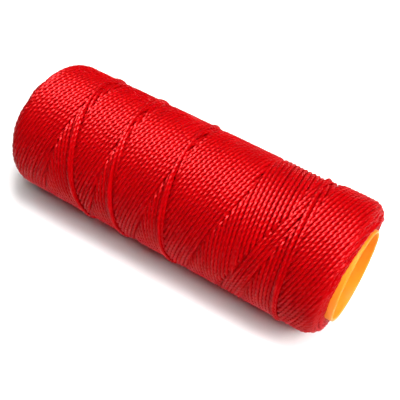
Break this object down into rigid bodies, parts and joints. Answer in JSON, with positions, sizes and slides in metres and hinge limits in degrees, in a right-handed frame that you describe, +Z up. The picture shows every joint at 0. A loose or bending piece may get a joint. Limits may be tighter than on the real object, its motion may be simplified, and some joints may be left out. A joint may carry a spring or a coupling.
{
  "type": "string reel",
  "caption": "Flangeless cross-wound reel of red twisted twine on a thin-walled orange plastic tube that stands out at both ends, lying on its side.",
  "frame": {"origin": "middle of the reel's footprint, on the surface that it lies on", "axes": "+X along the bore, +Z up, the cord's outer end lies on the +Y side"},
  "size_m": [0.1324, 0.05, 0.0499],
  "materials": {
    "tube_plastic": "translucent orange, glossy",
    "twine": "glossy twisted filament, red",
    "twine_inside": "glossy twisted filament, red, under the outer turns"
  },
  "bodies": {
    "root": {"core_tube": "tube_plastic", "winding_layer_1": "twine_inside", "winding_layer_2": "twine_inside", "winding_layer_3": "twine_inside", "winding_layer_4": "twine_inside", "winding_layer_5": "twine", "cord_tail": "twine"}
  },
  "joints": []
}
